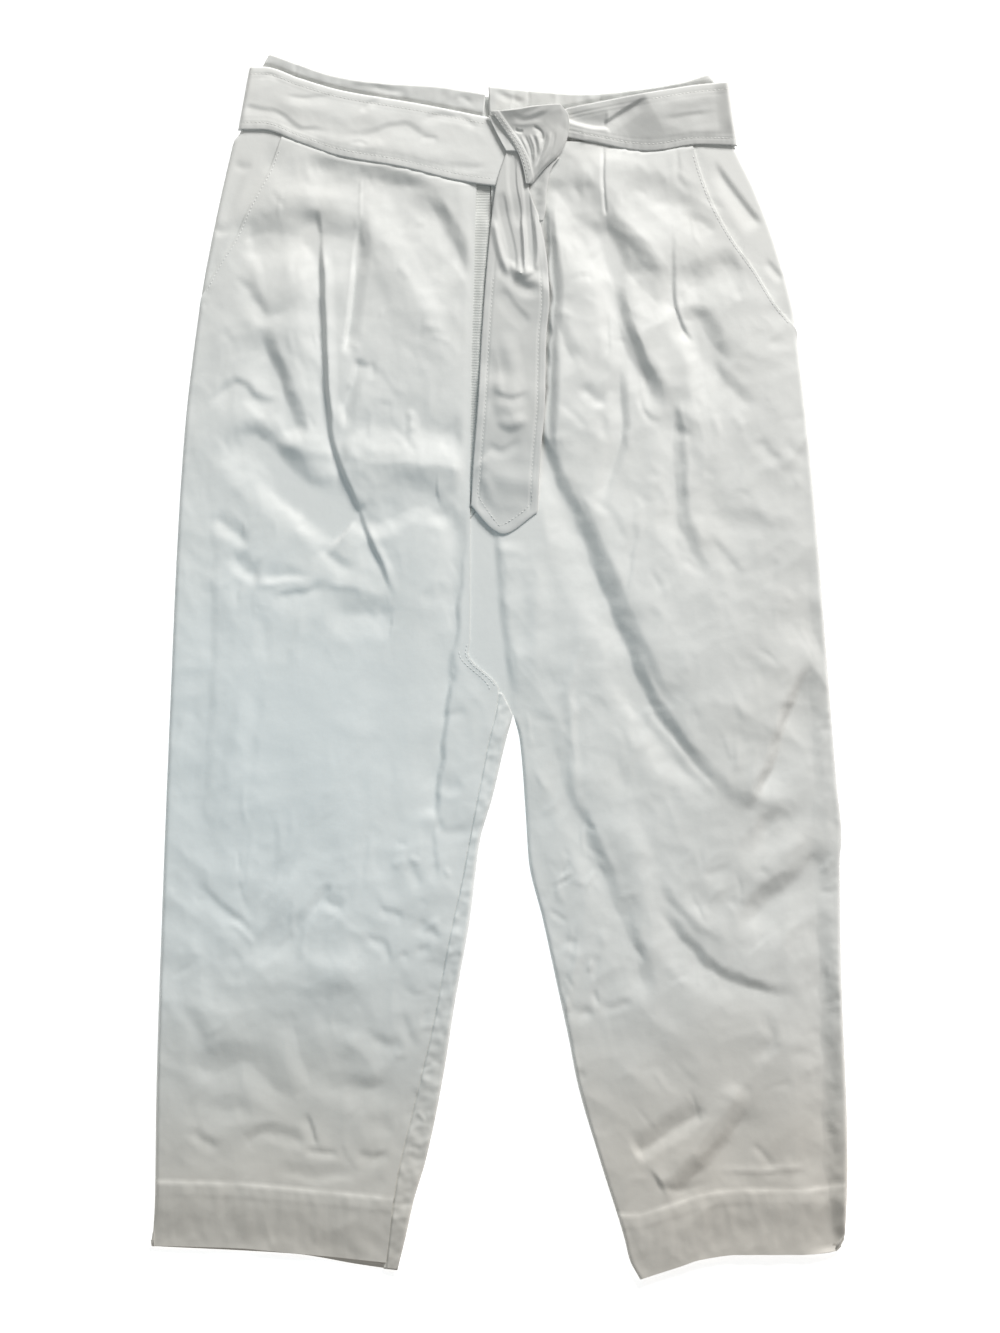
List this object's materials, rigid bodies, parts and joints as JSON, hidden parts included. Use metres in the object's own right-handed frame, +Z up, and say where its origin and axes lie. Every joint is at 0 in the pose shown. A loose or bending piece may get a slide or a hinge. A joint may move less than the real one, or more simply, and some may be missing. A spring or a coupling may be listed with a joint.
{
  "type": "cropped trousers with a tie belt, laid flat",
  "caption": "White cotton cropped trousers laid flat, front up: pleated waist under a wide tie belt knotted at the fly, slant pockets, tapered legs and deep turned-up hems.",
  "frame": {"origin": "on the surface that the trousers lie on, under the middle of their bounding box", "axes": "+X across the garment to the right as seen from above, +Y from the hems to the waist, +Z up, out of the front"},
  "size_m": [0.536, 0.944, 0.0179],
  "materials": {
    "cotton_sateen": "white cotton sateen, fine weave with a soft sheen",
    "zip_tape": "white woven zip tape, matt"
  },
  "bodies": {
    "root": {"back_leg_left": "cotton_sateen", "back_leg_left_wrap": "cotton_sateen", "back_leg_right": "cotton_sateen", "front_leg_left": "cotton_sateen", "front_leg_right": "cotton_sateen", "pocket_facing_left": "cotton_sateen", "pocket_facing_right": "cotton_sateen", "waistband_front_left": "cotton_sateen", "waistband_front_right": "cotton_sateen", "waistband_back": "cotton_sateen", "fly_strip": "zip_tape", "belt_front_left": "cotton_sateen", "belt_front_right": "cotton_sateen", "belt_back": "cotton_sateen", "belt_knot": "cotton_sateen", "belt_end": "cotton_sateen", "belt_end_short": "cotton_sateen"}
  },
  "joints": []
}
